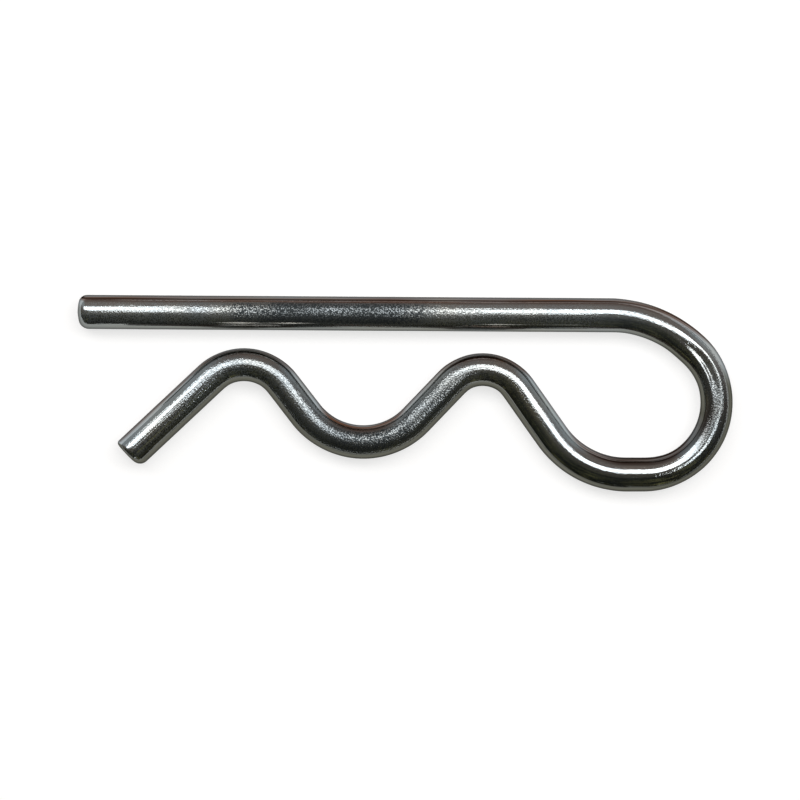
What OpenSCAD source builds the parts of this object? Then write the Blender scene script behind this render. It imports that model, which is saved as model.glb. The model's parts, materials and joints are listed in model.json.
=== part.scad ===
// Hitch clip: one length of round spring wire, bent into a straight shank, a
// loop and a leg with two crests and a valley between them. Millimetres.
// The clip lies flat in the XY plane. The shank's axis is the X axis, its tip
// points to -X, and the origin is on that axis, opposite the valley's lowest point.

/* [Wire] */
// Diameter of the wire
wire_d = 4; // [3:0.1:5]
// How much thinner the wire is drawn where it is bent, on the diameter
draw_down = 0.04; // [0.02:0.01:0.1]

/* [Shank] */
// Straight length of the shank, from its tip to the loop
shank_l = 62; // [45:0.5:80]
// Radius of the dressed edge round the shank's tip
tip_round = 1.1; // [0.3:0.1:1.4]

/* [Loop] */
// Inside radius of the bend that turns down from the shank
crown_r = 11.9; // [9:0.1:15]
// Angle of that bend
crown_turn = 41.5; // [35:0.5:50]
// Straight between the crown bend and the nose bend
crown_flat = 0.5; // [0.4:0.1:4]
// Inside radius of the tight bend at the loop's end
nose_r = 6.4; // [5:0.1:9]
// Slope of the wire under the loop, down towards the nose
belly_slope = 0.5; // [0:0.5:8]
// Straight under the loop
belly_flat = 2; // [0.4:0.1:6]
// Inside radius of the bend that turns up from the loop to the leg
heel_r = 8.7; // [6:0.1:12]

/* [Leg] */
// Slope of the wire from the loop up to the inner crest
inner_rise = 54.5; // [48:0.5:65]
// Inside radius of the inner crest
inner_crest_r = 3.1; // [2.5:0.1:5]
// Gap between the shank and the inner crest
inner_gap = 2.4; // [1:0.1:4]
// Slope of the wire from the inner crest down to the valley
seat_fall = 46.5; // [40:0.5:55]
// Radius of the valley on the side that faces the shank
seat_r = 6.5; // [4:0.1:8]
// Depth of the valley, from the shank's axis to the wire
seat_depth = 12.9; // [11:0.1:17]
// Slope of the wire from the valley up to the outer crest
seat_rise = 52; // [45:0.5:58]
// Inside radius of the outer crest
outer_crest_r = 3.7; // [2.5:0.1:5]
// Gap between the shank and the outer crest
outer_gap = 2; // [1:0.1:4]
// Slope of the flared end of the leg
flare_fall = 43.5; // [35:0.5:55]
// Length of the flared end of the leg
flare_l = 13.2; // [6:0.1:20]
// Radius of the edge round the leg's cropped end
crop_round = 0.7; // [0.2:0.1:1.4]

/* [Hidden] */
$fn = 96;

// Straights and bends run this far into each other, along the wire
lap = 0.4;
// Radii of the bends at the middle of the wire
half = wire_d / 2;
crown_mid = crown_r + half;
nose_mid = nose_r + half;
heel_mid = heel_r + half;
inner_mid = inner_crest_r + half;
seat_mid = seat_r + half;
outer_mid = outer_crest_r + half;

// Angles of the two bends that close the loop
nose_turn = 180 - crown_turn - belly_slope;
heel_turn = belly_slope + inner_rise;

// Height gained or lost, and length covered, by a bend that starts or ends level
function lift(r, a) = r * (1 - cos(a));
function reach(r, a) = r * sin(a);

// Heights of the wire's axis, from the shank's axis down
heel_y = -lift(crown_mid, crown_turn) - crown_flat * sin(crown_turn)
    - nose_mid * (cos(crown_turn) + cos(belly_slope))
    + belly_flat * sin(belly_slope)
    + heel_mid * (cos(belly_slope) - cos(inner_rise));
inner_y = -(wire_d + inner_gap);
seat_y = -(seat_depth + half);
outer_y = -(wire_d + outer_gap);

// Straights that bring each crest and the valley to its height
rise_l = (inner_y - lift(inner_mid, inner_rise) - heel_y) / sin(inner_rise);
fall_l = (inner_y - lift(inner_mid, seat_fall) - seat_y - lift(seat_mid, seat_fall)) / sin(seat_fall);
climb_l = (outer_y - lift(outer_mid, seat_rise) - seat_y - lift(seat_mid, seat_rise)) / sin(seat_rise);

// Distance along the shank from the loop's start back to the valley
loop_x = reach(crown_mid, crown_turn) + crown_flat * cos(crown_turn)
    + nose_mid * (sin(belly_slope) - sin(crown_turn))
    - belly_flat * cos(belly_slope)
    - heel_mid * (sin(inner_rise) + sin(belly_slope));
leg_x = rise_l * cos(inner_rise) + reach(inner_mid, inner_rise) + reach(inner_mid, seat_fall)
    + fall_l * cos(seat_fall) + reach(seat_mid, seat_fall);
tip_x = leg_x - loop_x - shank_l;

// A straight, and whatever follows it
module feed(l) {
    rotate([0, 90, 0]) cylinder(h = l, d = wire_d);
    translate([l, 0, 0]) children();
}

// A bend to the left, or to the right where the angle is negative, and what follows it
module bend(r, a) {
    side = sign(a);
    over = side * lap / r * 180 / PI;
    translate([0, side * r, 0])
        rotate_extrude(angle = a + 2 * over, start = -90 * side - over)
            translate([r, 0]) circle(d = wire_d - draw_down);
    translate([0, side * r, 0]) rotate([0, 0, a]) translate([0, -side * r, 0]) children();
}

// A straight that starts at an end of the wire, its edge rounded to the radius e
module wire_end(l, e) {
    rotate([0, 90, 0]) rotate_extrude() {
        translate([0, e]) square([half, l - e]);
        square([half - e, 2 * e]);
        intersection() {
            translate([half - e, e]) circle(r = e);
            square([half, 2 * e]);
        }
    }
}

// The shank, with the sharp edge dressed off its tip, and whatever follows it
module shank() {
    wire_end(shank_l, tip_round);
    translate([shank_l, 0, 0]) children();
}

// The flared end of the leg, cropped off square
module flare() {
    translate([flare_l, 0, 0]) mirror([1, 0, 0]) wire_end(flare_l, crop_round);
}

module clip_wire() {
    color("silver") translate([tip_x, 0, 0])
        shank() bend(crown_mid, -crown_turn)
        feed(crown_flat) bend(nose_mid, -nose_turn)
        feed(belly_flat) bend(heel_mid, -heel_turn)
        feed(rise_l) bend(inner_mid, inner_rise + seat_fall)
        feed(fall_l) bend(seat_mid, -seat_fall - seat_rise)
        feed(climb_l) bend(outer_mid, seat_rise + flare_fall)
        flare();
}

clip_wire();
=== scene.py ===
import json
import math

import bmesh
import bpy
from mathutils import Matrix, Vector, noise


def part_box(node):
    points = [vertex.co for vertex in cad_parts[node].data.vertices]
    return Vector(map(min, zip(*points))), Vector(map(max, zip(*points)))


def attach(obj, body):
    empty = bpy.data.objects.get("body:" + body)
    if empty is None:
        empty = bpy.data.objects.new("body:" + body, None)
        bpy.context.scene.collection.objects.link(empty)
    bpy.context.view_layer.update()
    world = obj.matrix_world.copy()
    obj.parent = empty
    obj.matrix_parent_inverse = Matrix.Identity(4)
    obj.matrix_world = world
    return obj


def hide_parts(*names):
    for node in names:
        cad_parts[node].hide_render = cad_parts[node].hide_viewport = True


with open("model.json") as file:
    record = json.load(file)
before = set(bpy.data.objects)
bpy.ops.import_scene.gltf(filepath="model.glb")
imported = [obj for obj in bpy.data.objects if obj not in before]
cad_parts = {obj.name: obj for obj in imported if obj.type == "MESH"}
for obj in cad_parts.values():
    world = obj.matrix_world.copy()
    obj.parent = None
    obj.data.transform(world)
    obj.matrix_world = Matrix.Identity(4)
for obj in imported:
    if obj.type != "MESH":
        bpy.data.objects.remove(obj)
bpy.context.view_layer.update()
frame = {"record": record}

# The wire's path
# The clip is one length of hard-drawn spring wire, fed straight out of a guide and bent cold
# round forming pins. Radii are those of the wire's axis, and depths are below the shank's.
MM = 0.001
shank_mount = frame["record"]["mounts"][0]
half = shank_mount["dims"]["r_mm"] * MM
tip_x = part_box("clip_wire")[0].x

shank_length = 62 * MM
crown_radius, crown_turn = 13.9 * MM, math.radians(41.5)
crown_flat = 0.5 * MM
nose_radius = 8.4 * MM
belly_slope, belly_flat = math.radians(0.5), 2 * MM
heel_radius = 10.7 * MM
inner_rise, inner_radius, inner_depth = math.radians(54.5), 5.1 * MM, 6.4 * MM
seat_fall, seat_radius, seat_depth = math.radians(46.5), 8.5 * MM, 14.9 * MM
seat_rise, outer_radius, outer_depth = math.radians(52), 5.7 * MM, 6 * MM
flare_fall, flare_length = math.radians(43.5), 13.2 * MM


def lift(radius, angle):
    """Height that a bend of this radius gains while it turns this far from level."""
    return radius * (1 - math.cos(angle))


heel_depth = (
    lift(crown_radius, crown_turn)
    + crown_flat * math.sin(crown_turn)
    + nose_radius * (math.cos(crown_turn) + math.cos(belly_slope))
    - belly_flat * math.sin(belly_slope)
    - heel_radius * (math.cos(belly_slope) - math.cos(inner_rise))
)
rise_length = (heel_depth - inner_depth - lift(inner_radius, inner_rise)) / math.sin(inner_rise)
fall_length = (
    seat_depth - inner_depth - lift(inner_radius, seat_fall) - lift(seat_radius, seat_fall)
) / math.sin(seat_fall)
climb_length = (
    seat_depth - outer_depth - lift(outer_radius, seat_rise) - lift(seat_radius, seat_rise)
) / math.sin(seat_rise)

# The mesh has this many vertices round the wire, and a ring at each of these steps along it
COLUMNS, RING_GAP = 72, 0.4 * MM
# How much thinner than the drawn wire the bends and the ends are, on the radius
BEND_DRAW, END_DRAW = 0.02 * MM, 0.01 * MM
# Share of a bend's length over which the wire thins, at each of its ends
THINNING = 0.25
# Rings on a rounded edge, and on an end face as shares of its radius and of its dome's height
EDGE_RINGS = 7
FACE_RINGS = ((0.7, 0.51), (0.35, 0.88), (0.1, 0.99))
# Length of the map that each ring of an end takes up
END_STEP = 0.15 * MM


def smooth(value):
    """Eases a value from 0 to 1, and holds it at 1 beyond that."""
    held = min(1, value)
    return held * held * (3 - 2 * held)


def ahead(heading):
    """Unit vector along a wire that runs this way."""
    return Vector((math.cos(heading), math.sin(heading), 0))


def left(heading):
    """Unit vector to the left of a wire that runs this way."""
    return Vector((-math.sin(heading), math.cos(heading), 0))


def only(kind, items):
    """The edges or the vertices among what an operator made."""
    return [item for item in items if isinstance(item, kind)]


class Bender:
    """Feeds wire out of a guide and bends it in the plane, leaving a mesh of rings behind. It
    keeps a station for each ring: its place, its heading, and how much the wire is thinned and
    pressed there."""

    def __init__(self, start):
        self.mesh = bmesh.new()
        self.column = self.mesh.verts.layers.int.new("column")
        self.station = self.mesh.verts.layers.int.new("station")
        self.along = self.mesh.verts.layers.float.new("along")
        self.side = self.mesh.verts.layers.float.new("side")
        self.flank = self.mesh.verts.layers.float.new("flank")
        self.place, self.heading, self.fed = Vector(start), 0.0, 0.0
        across = Matrix.Translation(start) @ Matrix.Rotation(math.pi / 2, 4, "Y")
        made = bmesh.ops.create_circle(self.mesh, segments=COLUMNS, radius=half, matrix=across)
        for vert in made["verts"]:
            turn = math.atan2(vert.co.y, -vert.co.z)
            vert[self.column] = round(turn * COLUMNS / (2 * math.pi)) % COLUMNS
        self.first = self.ring = list(self.mesh.edges)
        self.stations = [(self.place.copy(), self.heading, 0.0, 0.0)]

    def turn(self, vert):
        """Angle of a vertex round the wire: 0 underneath, and a quarter turn on the left."""
        return 2 * math.pi * vert[self.column] / COLUMNS

    def radial(self, vert, heading):
        """Unit vector from the wire's axis to a vertex."""
        aside, up = math.sin(self.turn(vert)), -math.cos(self.turn(vert))
        return Vector((-math.sin(heading) * aside, math.cos(heading) * aside, up))

    def sweep(self, steps, length, **motion):
        """Sweeps the last ring on in equal steps, and marks where on the wire each vertex is."""
        before = len(self.mesh.verts)
        swept = bmesh.ops.spin(self.mesh, geom=self.ring, steps=steps, axis=(0, 0, 1), **motion)
        self.ring = only(bmesh.types.BMEdge, swept["geom_last"])
        self.mesh.verts.index_update()
        self.mesh.verts.ensure_lookup_table()
        for vert in self.mesh.verts[before:]:
            step = (vert.index - before) // COLUMNS
            vert[self.station] = len(self.stations) + step
            vert[self.along] = self.fed + length * (step + 1) / steps

    def feed(self, length):
        """A straight."""
        steps = max(1, round(length / RING_GAP))
        stride = ahead(self.heading) * (length / steps)
        self.sweep(steps, length, dvec=stride, angle=0.0)
        for _ in range(steps):
            self.place += stride
            self.stations.append((self.place.copy(), self.heading, 0.0, 0.0))
        self.fed += length

    def bend(self, radius, angle, squeeze=0.0):
        """A bend to the left, or to the right where the angle is negative. Squeeze is the share
        of its width in the plane that the wire loses at the middle of the bend."""
        hand = math.copysign(1, angle)
        steps = max(2, round(radius * abs(angle) / RING_GAP))
        pin = self.place + left(self.heading) * hand * radius
        self.sweep(steps, radius * abs(angle), cent=pin, angle=angle)
        for step in range(1, steps + 1):
            self.heading += angle / steps
            self.place = pin - left(self.heading) * hand * radius
            share = smooth(min(step, steps - step) / (steps * THINNING))
            pressed = hand * squeeze * share
            self.stations.append((self.place.copy(), self.heading, BEND_DRAW * share, pressed))
        self.fed += radius * abs(angle)

    def close(self, ring, station, outward, reach, rounding, uneven, dome):
        """Closes an open end of the wire with a rounded edge and a domed face. The edge's radius
        is larger by uneven on the wire's left, and smaller by as much on its right."""
        place, heading = station[:2]
        outwards = ahead(heading) * outward
        travelled = self.fed if outward > 0 else 0.0
        angles = [math.pi / 2 * count / EDGE_RINGS for count in range(EDGE_RINGS + 1)]
        for count in range(len(angles) + len(FACE_RINGS)):
            made = bmesh.ops.extrude_edge_only(self.mesh, edges=ring)["geom"]
            ring = only(bmesh.types.BMEdge, made)
            travelled += outward * END_STEP
            for vert in only(bmesh.types.BMVert, made):
                edge = rounding + uneven * math.sin(self.turn(vert))
                if count < len(angles):
                    depth = reach - dome - edge + edge * math.sin(angles[count])
                    radius = half - END_DRAW - edge * (1 - math.cos(angles[count]))
                else:
                    share, crown = FACE_RINGS[count - len(angles)]
                    depth = reach - dome + dome * crown
                    radius = (half - END_DRAW - edge) * share
                vert.co = place + outwards * depth + self.radial(vert, heading) * radius
                vert[self.along] = travelled
        made = bmesh.ops.extrude_edge_only(self.mesh, edges=ring)["geom"]
        middle = only(bmesh.types.BMVert, made)
        bmesh.ops.pointmerge(self.mesh, verts=middle, merge_co=place + outwards * reach)


# How far the rounded edges reach back from each end of the wire
TIP_REACH, CROP_REACH = 1.5 * MM, 1.4 * MM

bender = Bender((tip_x + TIP_REACH, 0, 0))
bender.feed(shank_length - TIP_REACH)
bender.bend(crown_radius, -crown_turn, squeeze=0.01)
bender.feed(crown_flat)
bender.bend(nose_radius, crown_turn + belly_slope - math.pi, squeeze=0.045)
bender.feed(belly_flat)
bender.bend(heel_radius, -belly_slope - inner_rise)
bender.feed(rise_length)
bender.bend(inner_radius, inner_rise + seat_fall, squeeze=0.025)
bender.feed(fall_length)
bender.bend(seat_radius, -seat_fall - seat_rise, squeeze=0.005)
bender.feed(climb_length)
bender.bend(outer_radius, seat_rise + flare_fall, squeeze=0.02)
bender.feed(flare_length - CROP_REACH)

# The drawn surface
# Cold drawing leaves faint lengthwise ripples and waves, and the bending pins press the inside
# of each bend a little flat. All are shapes of the wire, an eighth of a millimetre deep at most.
RIPPLE, RIPPLE_LENGTH = 0.004 * MM, 16 * MM
# Radius of the circle in the noise that goes once round the wire
RIPPLE_CIRCLE = 4
WAVE, WAVE_LENGTH = 0.006 * MM, 2.4 * MM
# How a bend's squeeze is shared out between its two sides
INSIDE_SHARE, OUTSIDE_SHARE = 1.4, 0.6

for vert in bender.mesh.verts:
    heading, draw, squeeze = bender.stations[vert[bender.station]][1:]
    sine, cosine = math.sin(bender.turn(vert)), math.cos(bender.turn(vert))
    share = INSIDE_SHARE if sine * squeeze > 0 else OUTSIDE_SHARE
    press = half * abs(squeeze) * sine ** 2 * share
    circle = (RIPPLE_CIRCLE * sine, RIPPLE_CIRCLE * cosine)
    ripple = RIPPLE * (1 + noise.noise((vert[bender.along] / RIPPLE_LENGTH, *circle)))
    wave = WAVE * (1 + noise.noise(vert.co / WAVE_LENGTH))
    vert.co -= bender.radial(vert, heading) * (draw + press + ripple + wave)

# The ends
# The shank's tip is tumbled round so that it enters a hole, a little more on its lower side.
# The leg's end is cropped: one side's edge stays crisp and the other's rolls over.
bender.close(
    bender.first, bender.stations[0], outward=-1,
    reach=TIP_REACH, rounding=1.1 * MM, uneven=-0.12 * MM, dome=0.12 * MM,
)
bender.close(
    bender.ring, bender.stations[-1], outward=1,
    reach=CROP_REACH, rounding=0.75 * MM, uneven=0.35 * MM, dome=0.05 * MM,
)
bmesh.ops.recalc_face_normals(bender.mesh, faces=bender.mesh.faces)
bender.mesh.normal_update()

# Side runs from 0 on the wire's lower side to 1 on its upper side, as it lies in the picture,
# and flank from 0 on its top to 1 where it is widest.
for vert in bender.mesh.verts:
    vert[bender.side] = 0.5 + 0.5 * vert.normal.y
    vert[bender.flank] = vert.normal.xy.length

# The map runs along the wire in u and round it in v, with its seam underneath.
wire_map = bender.mesh.loops.layers.uv.new("wire_map")
lengths = [vert[bender.along] for vert in bender.mesh.verts]
map_start, map_length = min(lengths), max(lengths) - min(lengths)
for face in bender.mesh.faces:
    face.smooth = True
    columns = [loop.vert[bender.column] for loop in face.loops]
    wrapped = max(columns) - min(columns) > COLUMNS / 2
    for loop, column in zip(face.loops, columns):
        round_v = COLUMNS if wrapped and column < COLUMNS / 2 else column
        along_u = (loop.vert[bender.along] - map_start) / map_length
        loop[wire_map].uv = (along_u, round_v / COLUMNS)


def add_object(name, data):
    """Puts a new object into the scene."""
    made = bpy.data.objects.new(name, data)
    bpy.context.scene.collection.objects.link(made)
    return made


mesh = bpy.data.meshes.new("spring_wire")
bender.mesh.to_mesh(mesh)
bender.mesh.free()
wire = add_object("spring_wire", mesh)
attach(wire, "root")
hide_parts("clip_wire")

# The zinc plate
# Bright zinc, plated on in a barrel, with a passivate over it. It is a dark mirror with a pebbled
# grain, coarser where the wire was worked. Over its colour lie painted reflections, brown on its
# upper side and olive on its lower flanks, and painted shade along its edges and inside the nose.
BLUE_ZINC, PALE_ZINC = (0.37, 0.41, 0.43, 1), (0.4, 0.415, 0.4, 1)
WORN_ZINC_AND_EDGE_SHADE, SHADED_RIM_ZINC = (0.045, 0.053, 0.057, 1), (0.2, 0.2, 0.17, 1)
BROWN_REFLECTION, OLIVE_REFLECTION = (0.13, 0.067, 0.043, 1), (0.05, 0.052, 0.04, 1)
PAINTED_SHADE, RUBBED_ZINC_HIGHLIGHT = (0.024, 0.013, 0.008, 1), (0.85, 0.85, 0.82, 1)
DARK_TINT = (0.3, 0.3, 0.3, 1)


class Shade:
    """A socket in a material. Arithmetic on it adds Math nodes, and node() adds any other."""

    # The Mix node's colour sockets: its two inputs, and its output
    FIRST_COLOUR, SECOND_COLOUR, MIXED_COLOUR = 6, 7, 2

    def __init__(self, tree, socket=None):
        self.tree, self.socket = tree, socket

    def node(self, kind, settings=None, sockets=None, output=0):
        """Adds a node: its settings first, then the values or links of its sockets."""
        made = self.tree.nodes.new(kind)
        for name, value in (settings or {}).items():
            if name == "stops":
                elements = made.color_ramp.elements
                while len(elements) < len(value):
                    elements.new(1.0)
                for element, (place, shade) in zip(elements, value):
                    element.position, element.color = place, (shade, shade, shade, 1)
            else:
                setattr(made, name, value)
        for name, value in (sockets or {}).items():
            if isinstance(value, Shade):
                self.tree.links.new(value.socket, made.inputs[name])
            else:
                made.inputs[name].default_value = value
        return Shade(self.tree, made.outputs[output] if made.outputs else None)

    def axis(self, name):
        """One axis of a vector."""
        return self.node("ShaderNodeSeparateXYZ", None, {0: self}, name)

    def noise(self, scale, detail):
        """Noise at a place in space or on a map."""
        settled = {"Vector": self, "Scale": scale, "Detail": detail}
        return self.node("ShaderNodeTexNoise", None, settled)

    def ramp(self, *stops):
        """Another value, in straight lines between its stops at values of this one."""
        return self.node("ShaderNodeValToRGB", {"stops": stops}, {"Fac": self})

    def stretch(self, low, high, kind="LINEAR"):
        """This value stretched so that low becomes 0 and high becomes 1, and no more than that."""
        limits = {"Value": self, "From Min": low, "From Max": high}
        return self.node("ShaderNodeMapRange", {"interpolation_type": kind}, limits)

    def mix(self, first, second):
        """A colour between two others, nearer to the second where this value is high."""
        colours = {"Factor": self, self.FIRST_COLOUR: first, self.SECOND_COLOUR: second}
        return self.node("ShaderNodeMix", {"data_type": "RGBA"}, colours, self.MIXED_COLOUR)

    def maths(self, operation, first, second):
        return self.node("ShaderNodeMath", {"operation": operation}, {0: first, 1: second})

    def __add__(self, other):
        return self.maths("ADD", self, other)

    def __sub__(self, other):
        return self.maths("SUBTRACT", self, other)

    def __rsub__(self, other):
        return self.maths("SUBTRACT", other, self)

    def __mul__(self, other):
        return self.maths("MULTIPLY", self, other)

    __radd__, __rmul__ = __add__, __mul__


def wipe_nodes(owner):
    """Empties the nodes of a material or a world, ready for its own."""
    owner.use_nodes = True
    owner.node_tree.nodes.clear()
    return Shade(owner.node_tree)


zinc = bpy.data.materials.new("bright_zinc_plate")
plating = wipe_nodes(zinc)
here = plating.node("ShaderNodeTexCoord", output="Object")
lying = plating.node("ShaderNodeUVMap", {"uv_map": "wire_map"})
along, around = lying.axis("X"), lying.axis("Y")
side = plating.node("ShaderNodeAttribute", {"attribute_name": "side"}, output="Fac")
flank = plating.node("ShaderNodeAttribute", {"attribute_name": "flank"}, output="Fac")


def stretches(*places):
    """A value that changes along the wire. The places are in millimetres from its tip: the
    shank ends at 62, the nose runs from 73 to 93, the heel ends at 105, the inner crest is from
    112 to 121, the valley from 127 to 141, the outer crest from 146 to 155, the end at 168."""
    return along.ramp(*((place * MM / map_length, value) for place, value in places))


on_shank = stretches((62, 1), (72, 0))
# How coarse the grain is, how far the shine is dulled, and how much single grains light up
coarse = stretches(
    (0, 0.08), (9, 0.15), (15, 0.6), (22, 0.95), (36, 1.0), (41, 0.55), (46, 0.3), (56, 0.2),
    (70, 0.1), (75, 0.2), (78, 0.6), (82, 0.4), (86, 0.08), (112, 0.1), (121, 0.35), (129, 0.6),
    (138, 0.65), (145, 0.35), (157, 0.15), (163, 0.06),
)
dull = stretches(
    (16, 0), (26, 1), (36, 1), (42, 0), (76, 0), (78, 0.6), (81, 0.9), (84, 0.7), (88, 0),
    (114, 0), (119, 0.35), (122, 0.9), (137, 0.9), (142, 0.6), (152, 0.5), (157, 0),
)
speckled = stretches(
    (0, 0.5), (20, 0.9), (42, 0.9), (48, 0.5), (60, 0.5), (66, 0.1), (84, 0.2), (90, 0.03),
    (112, 0.03), (121, 0.45), (145, 0.45), (158, 0.75), (167, 0.35),
)

# The grain: pebbles about a fifth of a millimetre across, in patches, on the wire's top and
# underside. The scales are in patches or grains to the metre.
PATCH_SCALE, GRAIN_SCALE, SWELL_SCALE = 260, 5500, 4500
patches = here.noise(PATCH_SCALE, 2.0).stretch(0.35, 0.65)
rubbed = flank.ramp((0.5, 1), (0.78, 0))
graininess = coarse * (patches * 0.6 + 0.55) * rubbed
cells = plating.node(
    "ShaderNodeTexVoronoi", sockets={"Vector": here, "Scale": GRAIN_SCALE}, output="Distance",
)
pebbles = cells * cells
swell = here.noise(SWELL_SCALE, 2.0)
specks = (pebbles + swell * 0.5).stretch(0.38, 0.62)

girth = 2 * math.pi * half


def drawn_lines(length, width, detail):
    """Noise drawn out along the wire, in lines of about this length and width."""
    scale = (map_length / length, girth / width, 1)
    longer = plating.node("ShaderNodeMapping", sockets={"Vector": lying, "Scale": scale})
    return longer.noise(1.0, detail).stretch(0.3, 0.7)


scores = drawn_lines(16 * MM, 0.25 * MM, 2.0)
ridges = drawn_lines(9 * MM, 0.9 * MM, 1.0)
# Drawing leaves no lines on the end faces
drawn = stretches((0.5, 0), (1, 1), (167.8, 1), (168.3, 0))
# A mark that the drawing die left along the end of the leg
die_mark = around.ramp((0.422, 0), (0.434, 1), (0.446, 0)) * stretches((152, 0), (156, 1))
# The crease that the forming pin pressed into the inside of the nose
crease = around.ramp((0.435, 0), (0.508, 1), (0.552, 0)).stretch(0, 1, "SMOOTHSTEP")
crease = crease * stretches((69, 0), (72, 0.25), (75, 1), (77, 1), (79, 0.4), (82, 0))
# Lens-shaped flats that the straightening rollers rubbed along the shank's lower side, with their
# light colour a painted highlight
off_line = around.ramp((0.588, 1), (0.602, 0), (0.616, 1))
rolled_highlight = stretches(
    (15, 0), (19, 0.9), (22, 0.3), (25, 0.8), (29, 0),
    (45, 0), (49, 0.7), (53, 0.2), (58, 0.4), (61, 0),
)
rolled_highlight = (rolled_highlight - off_line).stretch(0, 0.5)

# How deep each relief is, as a share of the bump's own depth
BUMP_DEPTH = 0.11 * MM
SCORE_DEPTH, RIDGE_DEPTH, DIE_MARK_DEPTH, CREASE_DEPTH = 0.07, 0.1, 0.25, 2.4
grain_depth = graininess * 0.34 + rubbed * 0.02 + 0.012
lines = (scores * SCORE_DEPTH + ridges * (graininess * 0.06 + RIDGE_DEPTH)) * drawn
height = (swell - pebbles) * grain_depth + lines
height = height + die_mark * DIE_MARK_DEPTH - crease * CREASE_DEPTH
surface = plating.node("ShaderNodeBump", sockets={"Distance": BUMP_DEPTH, "Height": height})

# The colour, from the bare plate up to the painted reflections and painted shade laid over it,
# and the marks rubbed into it
FILM_SCALE = 170
colour = here.noise(FILM_SCALE, 2.0).stretch(0.42, 0.7).mix(BLUE_ZINC, PALE_ZINC)
worn = graininess * (specks * 0.7 + 0.3) + (specks * 0.08 + dull * 0.4) * rubbed
colour = worn.mix(colour, WORN_ZINC_AND_EDGE_SHADE)
# Painted reflection: a brown band along the wire's upper side, as it lies in the picture, broken
# up by the drawn lines; it also darkens the outermost edge there.
brown_reflection = side.ramp((0.76, 0), (0.84, 1), (0.925, 1), (0.965, 0.5))
colour = (brown_reflection * (scores * 0.9 + 0.25)).mix(colour, BROWN_REFLECTION)
# Painted shade: a dark line along the shank's upper side, just inside its edge.
shaded = side.ramp((0.85, 0), (0.87, 1), (0.9, 1), (0.92, 0))
colour = (shaded * on_shank * 0.9).mix(colour, PAINTED_SHADE)
# Painted shade: the flanks of the wire's lower side, as it lies in the picture, are darkened, less
# so on the shank.
lower = side.ramp((0.58, 1), (0.68, 0))
rim = flank.ramp((0.6, 0), (0.8, 1))
colour = (lower * rim * (1 - on_shank * 0.4)).mix(colour, SHADED_RIM_ZINC)
# Painted shade: a dark edge where the wire turns away towards its outline, weaker on its lower
# side, in the dark colour of the worn grain.
painted_edge_shade = flank.ramp((0.84, 0), (0.92, 0.2), (0.97, 0.4))
colour = (painted_edge_shade * (1 - lower * (on_shank * 0.5 + 0.35))).mix(colour, WORN_ZINC_AND_EDGE_SHADE)
# Painted shade: the inside of the nose is darkened, and its top as well, halfway along it
nose_side_shade = around.ramp((0.575, 0), (0.61, 1), (0.9, 1), (0.95, 0))
nose_side_shade = nose_side_shade * stretches((80, 0), (83, 1), (96, 1), (101, 0))
nose_top_shade = around.ramp((0.505, 0), (0.54, 1), (0.58, 1), (0.61, 0))
nose_top_shade = nose_top_shade * stretches((78, 0), (81, 0.8), (83.5, 0.8), (86.5, 0))
colour = ((nose_side_shade + nose_top_shade) * (scores * 0.3 + 0.55)).mix(colour, PAINTED_SHADE)
# Painted highlight: the rolled strips are made light.
colour = rolled_highlight.mix(colour, RUBBED_ZINC_HIGHLIGHT)
# Painted reflection: an olive tint on the flanks of the wire's lower side, weaker on the shank.
brim = flank.ramp((0.66, 0), (0.74, 0.8), (0.84, 0.5), (0.96, 0.2))
olive_reflection = lower * brim * (scores * 0.6 + 0.6) * (1 - on_shank * 0.8)
colour = olive_reflection.mix(colour, OLIVE_REFLECTION)

# A clear shine, and a haze over it where grains, wear and rollers scatter the light
metal = {"Base Color": colour, "Metallic": 1.0, "Specular Tint": DARK_TINT}
shine = plating.node(
    "ShaderNodeBsdfPrincipled",
    sockets={**metal, "Roughness": graininess * 0.16 + 0.075, "Normal": surface},
)
haze = plating.node(
    "ShaderNodeBsdfPrincipled", sockets={**metal, "Roughness": rolled_highlight * 0.3 + 0.65},
)
hazy = graininess * (specks * 0.45 + 0.15) + specks * speckled * rubbed * 0.34
hazy = hazy + on_shank * 0.08 + 0.002 + rolled_highlight * 0.8 + dull * rubbed * (on_shank * 0.12 + 0.03)
finish = plating.node("ShaderNodeMixShader", sockets={0: hazy, 1: shine, 2: haze})
plating.node("ShaderNodeOutputMaterial", sockets={"Surface": finish})
mesh.materials.append(zinc)

# The floor
# A plain white table that the clip lies flat on, bright enough to stay white in the picture
# and to keep a soft shadow of the clip.
TABLE_SIZE, TABLE_PAINT = 3, (0.42, 0.42, 0.42, 1)
WHITE, WHITE_GLOW = (1, 1, 1, 1), 0.7
white_table = bpy.data.materials.new("white_table")
table = wipe_nodes(white_table)
seen = table.node("ShaderNodeLightPath", output="Is Camera Ray")
mirrored = table.node("ShaderNodeLightPath", output="Is Glossy Ray")
through = table.node("ShaderNodeLightPath", output="Is Transmission Ray")
strength = (seen + mirrored + through) * WHITE_GLOW
paint = table.node("ShaderNodeBsdfDiffuse", sockets={"Color": TABLE_PAINT})
glow = table.node("ShaderNodeEmission", sockets={"Color": WHITE, "Strength": strength})
painted = table.node("ShaderNodeAddShader", sockets={0: paint, 1: glow})
table.node("ShaderNodeOutputMaterial", sockets={"Surface": painted})
floor_mesh = bpy.data.meshes.new("floor")
floor_build = bmesh.new()
under_clip = Matrix.Translation((0, 0, -half))
bmesh.ops.create_grid(floor_build, x_segments=1, y_segments=1, size=TABLE_SIZE, matrix=under_clip)
floor_build.to_mesh(floor_mesh)
floor_build.free()
floor_mesh.materials.append(white_table)
floor = add_object("floor", floor_mesh)

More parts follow.
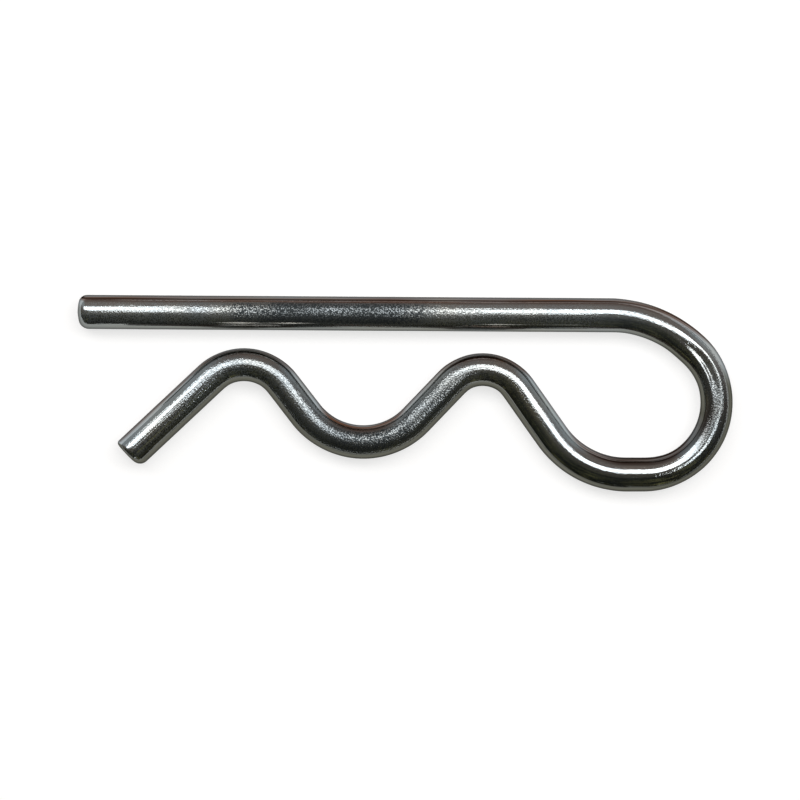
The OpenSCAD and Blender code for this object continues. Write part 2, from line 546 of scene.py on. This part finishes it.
# The light
# One long softbox over the picture's upper side and two small lamps, in a room that is dark
# in front of the clip, brownish behind it and lighter at the sides. Each lamp's row gives its
# name, its place, its turn, its length and width, and its power in watts.
for name, place, turned, length, width, power in (
    ("softbox", (-0.015, 0.263, 0.6), -0.2, 1.21, 0.31, 4.5),
    ("right_lamp", (0.24, -0.09, 0.6), 0, 0.17, 0.17, 0.42),
    ("near_lamp", (-0.045, 0.052, 0.6), 0, 0.09, 0.085, 0.085),
):
    lamp_data = bpy.data.lights.new(name, "AREA")
    lamp_data.shape, lamp_data.size, lamp_data.size_y = "RECTANGLE", length, width
    lamp_data.energy = power
    lamp = add_object(name, lamp_data)
    lamp.location = place
    lamp.rotation_euler = (0, 0, turned)
    lamp.visible_camera = False

DARK_FRONT, OLIVE_CLUTTER = (0.012, 0.013, 0.01, 1), (0.24, 0.22, 0.1, 1)
BROWN_BACK, PALE_SIDES = (0.28, 0.22, 0.19, 1), (0.46, 0.47, 0.47, 1)
CLUTTER_SCALE = 6.0
world = bpy.data.worlds.new("room")
room = wipe_nodes(world)
toward = room.node("ShaderNodeTexCoord", output="Generated")
toward_x, toward_y = toward.axis("X"), toward.axis("Y")
behind = toward_y.stretch(-0.45, 0.75, "SMOOTHSTEP")
# The pale sides begin a little nearer on the left
beside = (toward_x * (toward_x - 0.12)).stretch(0.15, 0.42, "SMOOTHSTEP")
beside = beside * toward_y.stretch(0.25, 0.65, "SMOOTHSTEP")
clutter = toward.noise(CLUTTER_SCALE, 3.0).stretch(0.53, 0.7)
walls = behind.mix(clutter.mix(DARK_FRONT, OLIVE_CLUTTER), BROWN_BACK)
sky = room.node("ShaderNodeBackground", sockets={"Color": beside.mix(walls, PALE_SIDES)})
room.node("ShaderNodeOutputWorld", sockets={"Surface": sky})
bpy.context.scene.world = world

# The camera
# It looks straight down, with the shank turned a little clockwise, as in the photograph, and
# its lens gives the photograph's number of pixels to the millimetre.
IMAGE_SIDE, PIXELS_PER_MM = 800, 8.59
SHANK_TURN = math.radians(-0.37)
CAMERA_HEIGHT = 0.5
# Where the part's origin lies in the picture, in pixels from its left and its top
ORIGIN_AT = Vector((363.8, 313.7))
middle = IMAGE_SIDE / 2
offset = Vector((middle - ORIGIN_AT.x, ORIGIN_AT.y - middle, 0)) / PIXELS_PER_MM * MM
camera_data = bpy.data.cameras.new("camera")
camera_data.lens = camera_data.sensor_width * CAMERA_HEIGHT / (IMAGE_SIDE / PIXELS_PER_MM * MM)
camera = add_object("camera", camera_data)
camera.rotation_euler = (0, 0, -SHANK_TURN)
camera.location = Matrix.Rotation(-SHANK_TURN, 3, "Z") @ offset + Vector((0, 0, CAMERA_HEIGHT))
bpy.context.scene.camera = camera
bpy.context.scene.view_settings.view_transform = "Standard"
